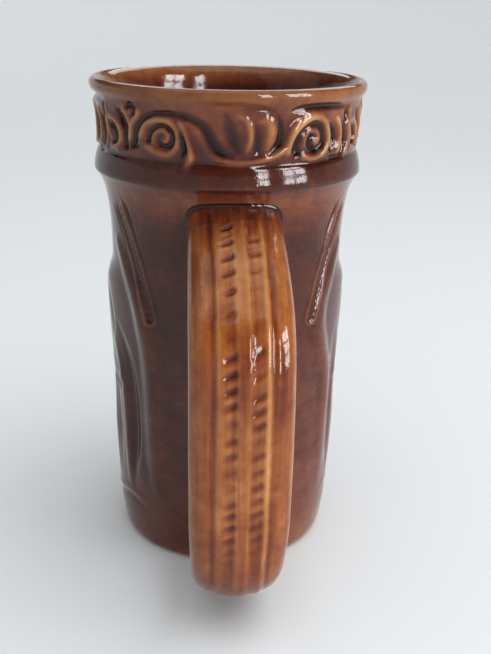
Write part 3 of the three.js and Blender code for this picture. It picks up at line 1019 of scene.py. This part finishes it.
def make_floor():
    profile = smooth_route(FLOOR_PROFILE, 0.05)[1:]
    turn = 2 * math.pi * np.arange(FLOOR_SPOKES) / FLOOR_SPOKES
    points = [(r * math.cos(a), r * math.sin(a), max(z, 0.0)) for r, z in profile for a in turn]
    faces = grid_faces(len(profile), FLOOR_SPOKES) + fan(len(points), list(range(FLOOR_SPOKES)), flip=True)
    floor = make_piece("floor", np.array([*points, (0, 0, 0)]) / MM, faces)
    material = bpy.data.materials.new("floor")
    material.use_nodes = True
    shader = material.node_tree.nodes["Principled BSDF"]
    shader.inputs["Base Color"].default_value = FLOOR_COLOUR
    shader.inputs["Roughness"].default_value = FLOOR_ROUGHNESS
    shader.inputs["Specular IOR Level"].default_value = FLOOR_SHINE
    floor.data.materials.append(material)
    return floor


# ---------- light ----------
MIDDLE = Vector((0, 0, 0.08))
WINDOW_AZIMUTHS = (26.5, 49.5, 60.5)
WINDOW_DISTANCE = 1.6
WINDOW_WIDTH = 9.6  # degrees of the view from the mug
WINDOW_LOW, WINDOW_HIGH = 1.0, 35.0
PANE_ROWS, PANE_COLUMNS = 3, 2
PANE_SHARE = 0.80  # of each pane's place that is glass
PANE_RADIANCE = 21.0
FLOOR_SUN = 2.5
FLOOR_SUN_ANGLE = 140
FLOOR_LAMP = 4.8
FLOOR_LAMP_PLACE = (0.40, -0.34, 0.9)
FLOOR_LAMP_TARGET = (0.30, -0.20, 0)
# Azimuth, elevation and distance of each broad light, its size, its power and its colour.
ROOM_LIGHTS = {
    "ceiling": ((-5, 84, 1.9), (2.2, 2.0), 12.5, (0.98, 0.99, 1.0)),
    "back_window": ((168, 40, 2.4), (2.2, 1.2), 26, (0.97, 0.985, 1.0)),
    "left_fill": ((-75, 46, 1.9), (2.2, 2.0), 5, (0.95, 0.975, 1.0)),
}
SKY_LOW = (0.45, 0.48, 0.51, 1)
SKY_HIGH = (0.05, 0.052, 0.058, 1)


def placed(azimuth, elevation, distance):
    """A place seen from the mug's middle at an azimuth from -Y towards +X and an elevation, in degrees."""
    a, e = math.radians(azimuth), math.radians(elevation)
    return MIDDLE + distance * Vector((math.sin(a) * math.cos(e), -math.cos(a) * math.cos(e), math.sin(e)))


def collected(name, pieces):
    """A collection of pieces, for lights that fall on nothing else."""
    collection = bpy.data.collections.new(name)
    for piece in pieces:
        collection.objects.link(piece)
    return collection


def add_light(data, location, target, receivers):
    """A light turned towards a target, which falls on the receivers alone."""
    light = bpy.data.objects.new(data.name, data)
    light.location = location
    light.rotation_mode = "QUATERNION"
    light.rotation_quaternion = (Vector(target) - Vector(location)).to_track_quat("-Z", "Y")
    bpy.context.scene.collection.objects.link(light)
    light.light_linking.receiver_collection = receivers
    return light


def soft_light(name, location, target, size, power, receivers, colour=(1, 1, 1)):
    """A rectangular light that the camera does not see."""
    data = bpy.data.lights.new(name, "AREA")
    data.shape = "RECTANGLE"
    data.size, data.size_y = size
    data.energy = power
    data.color = colour
    light = add_light(data, location, target, receivers)
    light.visible_camera = False


def make_window(name, azimuth, receivers):
    """A tall window of six panes with dark bars between them."""
    pane_width = math.radians(WINDOW_WIDTH / PANE_COLUMNS) * WINDOW_DISTANCE * PANE_SHARE
    pane_height = math.radians((WINDOW_HIGH - WINDOW_LOW) / PANE_ROWS) * WINDOW_DISTANCE * PANE_SHARE
    power = PANE_RADIANCE * math.pi * pane_width * pane_height
    for row in range(PANE_ROWS):
        for column in range(PANE_COLUMNS):
            across = azimuth + WINDOW_WIDTH * ((column + 0.5) / PANE_COLUMNS - 0.5)
            up = WINDOW_LOW + (WINDOW_HIGH - WINDOW_LOW) * (row + 0.5) / PANE_ROWS
            place = placed(across, up, WINDOW_DISTANCE)
            pane = f"{name}_pane_{row}_{column}"
            soft_light(pane, place, MIDDLE, (pane_width, pane_height), power, receivers)


def make_floor_light(receivers):
    """A wide soft sun from the right, and a gentle lamp over the floor on that side."""
    sun = bpy.data.lights.new("floor_light", "SUN")
    sun.energy = FLOOR_SUN
    sun.angle = math.radians(FLOOR_SUN_ANGLE)
    add_light(sun, placed(50, 60, 1.0), MIDDLE, receivers)
    soft_light("floor_lamp", FLOOR_LAMP_PLACE, FLOOR_LAMP_TARGET, (0.9, 0.9), FLOOR_LAMP, receivers)


def make_world():
    """Pale up to the horizon, with a darker room above it."""
    world = bpy.data.worlds.new("studio")
    bpy.context.scene.world = world
    world.use_nodes = True
    tree = world.node_tree
    background = tree.nodes["Background"]
    where = tree.nodes.new("ShaderNodeTexCoord")
    split = tree.nodes.new("ShaderNodeSeparateXYZ")
    ramp = tree.nodes.new("ShaderNodeValToRGB")
    for element, position, colour in zip(ramp.color_ramp.elements, (0.04, 0.30), (SKY_LOW, SKY_HIGH)):
        element.position = position
        element.color = colour
    tree.links.new(where.outputs["Generated"], split.inputs["Vector"])
    tree.links.new(split.outputs["Z"], ramp.inputs["Fac"])
    tree.links.new(ramp.outputs["Color"], background.inputs["Color"])
    background.inputs["Strength"].default_value = 1.0


# ---------- camera ----------
CAMERA_PLACE = (-0.0204, -0.3333, 0.1898)
CAMERA_HEADING = 4.74  # degrees from +Y towards +X
CAMERA_PITCH = 19.18  # degrees down
CAMERA_ROLL = 1.2
CAMERA_LENS = 55.05


def make_camera():
    data = bpy.data.cameras.new("camera")
    data.sensor_width = 36
    data.lens = CAMERA_LENS
    data.clip_start = 0.01
    camera = bpy.data.objects.new("camera", data)
    heading, pitch, roll = (math.radians(a) for a in (CAMERA_HEADING, CAMERA_PITCH, CAMERA_ROLL))
    flat = math.cos(pitch)
    forward = Vector((math.sin(heading) * flat, math.cos(heading) * flat, -math.sin(pitch)))
    level = Vector((math.cos(heading), -math.sin(heading), 0))
    up = level.cross(forward)
    right = level * math.cos(roll) + up * math.sin(roll)
    above = up * math.cos(roll) - level * math.sin(roll)
    turned = Matrix((right, above, -forward)).transposed().to_4x4()
    camera.matrix_world = Matrix.Translation(CAMERA_PLACE) @ turned
    bpy.context.scene.collection.objects.link(camera)
    bpy.context.scene.camera = camera


# ---------- the stage ----------
mug_only = collected("mug_only", [body, handle, *joints])
floor_only = collected("floor_only", [make_floor()])
make_world()
for number, azimuth in enumerate(WINDOW_AZIMUTHS):
    make_window(f"window_{number}", azimuth, mug_only)
make_floor_light(floor_only)
for name, (place, size, power, colour) in ROOM_LIGHTS.items():
    soft_light(name, placed(*place), MIDDLE, size, power, mug_only, colour)
make_camera()
bpy.context.scene.view_settings.view_transform = "Standard"
